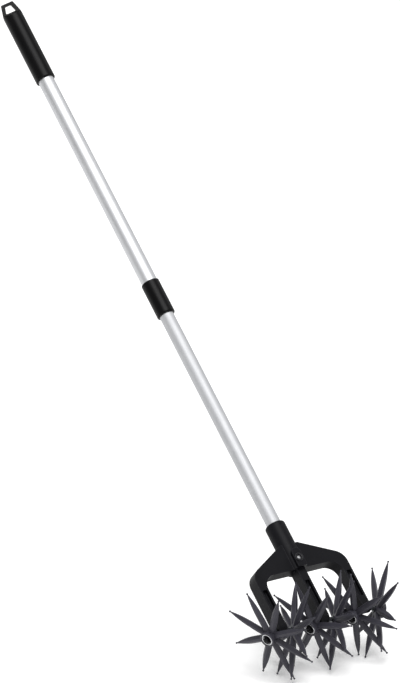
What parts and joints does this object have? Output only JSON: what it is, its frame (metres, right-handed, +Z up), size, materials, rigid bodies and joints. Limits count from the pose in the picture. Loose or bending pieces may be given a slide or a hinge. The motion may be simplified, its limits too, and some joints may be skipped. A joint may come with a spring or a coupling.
{
  "type": "rotary hand cultivator",
  "caption": "Long-handled rotary cultivator: star wheels on drooped axles in a pronged fork, on a twist-lock telescopic pole with a hand grip and hanging hole",
  "frame": {"origin": "On the pole's axis at the middle of the round part of the hand grip, where a hand holds it", "axes": "+X along the row of wheels, +Y to the back, the way the pole leans at work, +Z up; the pole rises toward +Y and +Z at 48 degrees from upright"},
  "size_m": [0.2501, 0.9186, 0.8356],
  "materials": {
    "grip_plastic": "smooth moulded black",
    "black_plastic": "moulded black, fine satin",
    "tube_aluminium": "satin anodised, drawn lengthwise",
    "tine_plastic": "moulded charcoal",
    "zinc_steel": "zinc plated",
    "lock_nylon": "natural nylon"
  },
  "bodies": {
    "upper_pole": {"hand_grip": "grip_plastic", "upper_tube": "tube_aluminium", "lock_collar": "black_plastic"},
    "lock_sleeve": {"lock_sleeve": "lock_nylon"},
    "lock_cone": {"lock_cone": "zinc_steel"},
    "lower_pole": {"lower_tube": "tube_aluminium", "lock_plug": "lock_nylon", "lock_stud": "zinc_steel", "fork": "black_plastic", "head_screw": "zinc_steel", "axle_left": "zinc_steel", "axle_centre": "zinc_steel", "axle_right": "zinc_steel", "end_washers": "zinc_steel", "axle_clips": "zinc_steel"},
    "wheel_1": {"tine_wheel_1": "tine_plastic"},
    "wheel_2": {"tine_wheel_2": "tine_plastic"},
    "wheel_3": {"tine_wheel_3": "tine_plastic"},
    "wheel_4": {"tine_wheel_4": "tine_plastic"},
    "wheel_5": {"tine_wheel_5": "tine_plastic"},
    "wheel_6": {"tine_wheel_6": "tine_plastic"}
  },
  "joints": [
    {"name": "pole_slide", "type": "slide", "parent": "upper_pole", "child": "lock_sleeve", "axis": [0, 0.7431, 0.6691], "range_m": [0, 0.35]},
    {"name": "lock_twist", "type": "hinge", "parent": "lock_sleeve", "child": "lower_pole", "pos_m": [0, -0.3785, -0.3408], "axis": [0, 0.7431, 0.6691], "range_deg": [0, 180]},
    {"name": "cone_travel", "type": "slide", "parent": "lock_sleeve", "child": "lock_cone", "axis": [0, 0.7431, 0.6691], "range_m": [0, 0.0016]},
    {"name": "wheel_1_spin", "type": "hinge", "parent": "lower_pole", "child": "wheel_1", "pos_m": [-0.095, -0.77979, -0.70213], "axis": [0.9121, 0.3046, 0.2743], "continuous": true},
    {"name": "wheel_2_spin", "type": "hinge", "parent": "lower_pole", "child": "wheel_2", "pos_m": [-0.055, -0.77979, -0.70213], "axis": [0.9121, -0.3046, -0.2743], "continuous": true},
    {"name": "wheel_3_spin", "type": "hinge", "parent": "lower_pole", "child": "wheel_3", "pos_m": [-0.02, -0.77979, -0.70213], "axis": [0.9121, 0.3046, 0.2743], "continuous": true},
    {"name": "wheel_4_spin", "type": "hinge", "parent": "lower_pole", "child": "wheel_4", "pos_m": [0.02, -0.77979, -0.70213], "axis": [0.9121, -0.3046, -0.2743], "continuous": true},
    {"name": "wheel_5_spin", "type": "hinge", "parent": "lower_pole", "child": "wheel_5", "pos_m": [0.055, -0.77979, -0.70213], "axis": [0.9121, 0.3046, 0.2743], "continuous": true},
    {"name": "wheel_6_spin", "type": "hinge", "parent": "lower_pole", "child": "wheel_6", "pos_m": [0.095, -0.77979, -0.70213], "axis": [0.9121, -0.3046, -0.2743], "continuous": true}
  ],
  "couplings": [
    {"joint": "cone_travel", "follows": "lock_twist", "m_per_rad": 0.00047746},
    {"joint": "wheel_2_spin", "follows": "wheel_1_spin", "ratio": 1},
    {"joint": "wheel_3_spin", "follows": "wheel_1_spin", "ratio": 1},
    {"joint": "wheel_4_spin", "follows": "wheel_1_spin", "ratio": 1},
    {"joint": "wheel_5_spin", "follows": "wheel_1_spin", "ratio": 1},
    {"joint": "wheel_6_spin", "follows": "wheel_1_spin", "ratio": 1}
  ]
}
